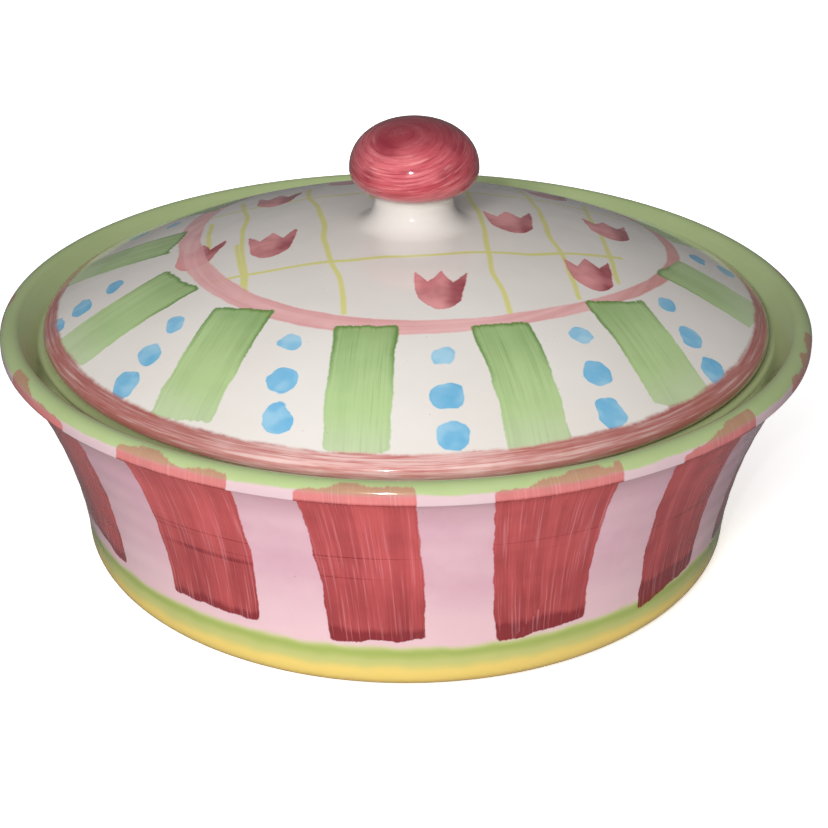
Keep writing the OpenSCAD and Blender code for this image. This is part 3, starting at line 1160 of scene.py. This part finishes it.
def knob_paint(tree, place):
    local = vector_node(tree, "SUBTRACT", place["Point"], KNOB_MIDDLE)
    twist = node(tree, "ShaderNodeVectorRotate", rotation_type="EULER_XYZ")
    plug(tree, local, twist.inputs["Vector"])
    twist.inputs["Rotation"].default_value = (-0.35, 0.15, 0.0)
    turned_place = vector_node(tree, "ADD", twist.outputs[0], NOISE_START)
    hair_place = vector_node(tree, "MULTIPLY", turned_place, (0.06, 0.06, 1.3))
    arc_place = vector_node(tree, "MULTIPLY", turned_place, (0.035, 0.035, 0.2))
    blot_place = vector_node(tree, "MULTIPLY", turned_place, (0.06, 0.06, 0.08))
    hair = noise(tree, hair_place, 1.0, 5.0, 0.7)
    arcs = noise(tree, arc_place, 1.0, 2.0, 0.5)
    blots = noise(tree, blot_place, 1.0, 2.0, 0.5)
    colour = blend(tree, ramp(tree, arcs, 0.35, 0.65), KNOB_PALE, KNOB_MID)
    colour = blend(tree, ramp(tree, blots, 0.5, 0.68, 0.0, 0.5), colour, KNOB_WINE)
    colour = blend(tree, ramp(tree, hair, 0.5, 0.62, 0.0, 0.55), colour, KNOB_WINE)
    colour = blend(tree, ramp(tree, hair, 0.46, 0.34, 0.0, 0.5), colour, KNOB_HAIR)
    apart = node(tree, "ShaderNodeSeparateXYZ")
    plug(tree, local, apart.inputs[0])
    # The crown is darker, partly the knob's own wine and partly painted shade; both sides get
    # painted shade.
    uneven = times(tree, minus(tree, blots, 0.5), 14.0)
    crown_wine_and_shade = ramp(tree, plus(tree, apart.outputs[2], uneven), 6, 16, 0.0, 0.75)
    right = ramp(tree, plus(tree, apart.outputs[0], uneven), 10, 22, 0.0, 0.4)
    left = ramp(tree, apart.outputs[0], -12, -22, 0.0, 0.5)
    sides = math_node(tree, "MAXIMUM", right, left)
    colour = blend(tree, math_node(tree, "MAXIMUM", crown_wine_and_shade, sides), colour, KNOB_WINE)
    low = ramp(tree, place["Height"], 136.3, 139.0, 0.8, 0.0)
    colour = blend(tree, low, colour, KNOB_JOINT)
    return colour, hair


inside_glaze = glazed("inside_glaze", inside_paint)
knob_glaze = glazed("knob_glaze", knob_paint)

bare_clay = bpy.data.materials.new("bare_clay")
bare_clay.use_nodes = True
tree = bare_clay.node_tree
shader = tree.nodes["Principled BSDF"]
place = use(tree, place_group)
grit = noise(tree, place["Point"], 1.6, 4.0, 0.7)
clay = blend(tree, ramp(tree, grit, 0.35, 0.65), tone(214, 186, 150), tone(188, 156, 120))
plug(tree, clay, shader.inputs["Base Color"])
plug(tree, ramp(tree, grit, 0.3, 0.7, 0.7, 0.9), shader.inputs["Roughness"])
bump = node(tree, "ShaderNodeBump")
bump.inputs["Strength"].default_value = 0.5
bump.inputs["Distance"].default_value = 0.0003
plug(tree, grit, bump.inputs["Height"])
plug(tree, bump.outputs[0], shader.inputs["Normal"])

for piece, materials in (
    (dish, (dish_glaze, inside_glaze, bare_clay)),
    (lid, (lid_glaze, inside_glaze)),
    (knob, (knob_glaze,)),
):
    for material in materials:
        piece.data.materials.append(material)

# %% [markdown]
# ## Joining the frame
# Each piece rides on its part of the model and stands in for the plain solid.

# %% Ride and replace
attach(dish, "dish")
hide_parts("dish")
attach(lid, "lid")
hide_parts("lid")
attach(knob, "lid")
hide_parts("knob")

# %% [markdown]
# ## Floor
# The floor is a plain pale sheet. It and the sky are brighter to the camera than
# the light they give off, so both look white while the underside of the rim keeps
# its shade.

# %% Floor
floor = bpy.data.objects.new("floor", bpy.data.meshes.new("floor"))
sheet = bmesh.new()
bmesh.ops.create_grid(sheet, x_segments=1, y_segments=1, size=4.0)
sheet.to_mesh(floor.data)
sheet.free()
bpy.context.scene.collection.objects.link(floor)
floor_material = bpy.data.materials.new("pale_floor")
floor_material.use_nodes = True
tree = floor_material.node_tree
shader = tree.nodes["Principled BSDF"]
coords = node(tree, "ShaderNodeTexCoord").outputs["Object"]
grain = noise(tree, coords, 3.0, 2.0)
paper = blend(tree, grain, tone(250, 250, 250), tone(252, 252, 252))
plug(tree, paper, shader.inputs["Base Color"])
shader.inputs["Roughness"].default_value = 0.9
shader.inputs["Specular IOR Level"].default_value = 0.1
shader.inputs["Emission Color"].default_value = (1, 1, 1, 1)
seen = node(tree, "ShaderNodeLightPath").outputs["Is Camera Ray"]
glow = ramp(tree, seen, 0.0, 1.0, 0.26, 0.62, curve="LINEAR")
plug(tree, glow, shader.inputs["Emission Strength"])
floor.data.materials.append(floor_material)
floor.visible_glossy = False
floor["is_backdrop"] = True

# %% [markdown]
# ## Lamps
# Soft light comes from above and behind the camera, and a second lamp lights the
# floor behind the pot. One small lamp makes the short, sharp glints on the glaze,
# and the big ones don't show in it, because their wide reflections would veil the paint.

# %% Lamps
def lamp(name, place, target, size, power):
    light = bpy.data.lights.new(name, "AREA")
    light.shape = "DISK"
    light.size = size
    light.energy = power
    made = bpy.data.objects.new(name, light)
    made.location = place
    ahead = (target[0] - place[0], target[1] - place[1], target[2] - place[2])
    flat_way = math.hypot(ahead[0], ahead[1])
    made.rotation_euler = (math.atan2(flat_way, -ahead[2]), 0, math.atan2(-ahead[0], ahead[1]))
    bpy.context.scene.collection.objects.link(made)
    return made


KEY_WATTS = 3.4
SOFT_WATTS = 3.95
GLINT_WATTS = 0.8
BACK_WATTS = 14
key = lamp("key", (-0.18, -0.72, 0.50), (0, 0, 0.08), 0.16, KEY_WATTS)
key.visible_glossy = False
softbox = lamp("softbox", (0.0, -0.75, 1.0), (0, 0, 0.05), 1.0, SOFT_WATTS)
softbox.visible_glossy = False
lamp("glint", (-0.06, -0.64, 0.38), (0, 0, 0.08), 0.02, GLINT_WATTS)
back = lamp("back_floor", (0, 1.05, 0.60), (0, 1.06, 0), 1.0, BACK_WATTS)
back.visible_glossy = False
back.data.shape = "RECTANGLE"
back.data.size = 2.4
back.data.size_y = 1.4
back.data.spread = math.radians(90)
print("four lamps placed")

# %% [markdown]
# ## Sky
# An even pale sky fills the shadows a little and is what the glaze reflects.

# %% Sky
world = bpy.data.worlds.new("studio")
world.use_nodes = True
world.node_tree.nodes["Background"].inputs["Color"].default_value = (1, 1, 1, 1)
seen = node(world.node_tree, "ShaderNodeLightPath").outputs["Is Camera Ray"]
sky = ramp(world.node_tree, seen, 0.0, 1.0, 0.13, 0.95, curve="LINEAR")
plug(world.node_tree, sky, world.node_tree.nodes["Background"].inputs["Strength"])
bpy.context.scene.world = world

# %% [markdown]
# ## Camera
# A long lens from a little above, close enough for the near rim to look wider than
# the far one. The Standard view keeps the paint's colours as they were chosen.

# %% Camera
camera_data = bpy.data.cameras.new("camera")
camera_data.lens = 74.8
camera_data.sensor_width = 36
camera_data.shift_x = 0.0097
camera = bpy.data.objects.new("camera", camera_data)
camera.location = (0, -0.600, 0.340)
camera.rotation_euler = (math.radians(63.74), 0, 0)
bpy.context.scene.collection.objects.link(camera)
bpy.context.scene.camera = camera
bpy.context.scene.view_settings.view_transform = "Standard"

# %% [markdown]
# The box round everything shown is measured. The looks have to stay inside the solid
# model's box.

# %% Measure sizes
shown = [list(corner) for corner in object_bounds()]
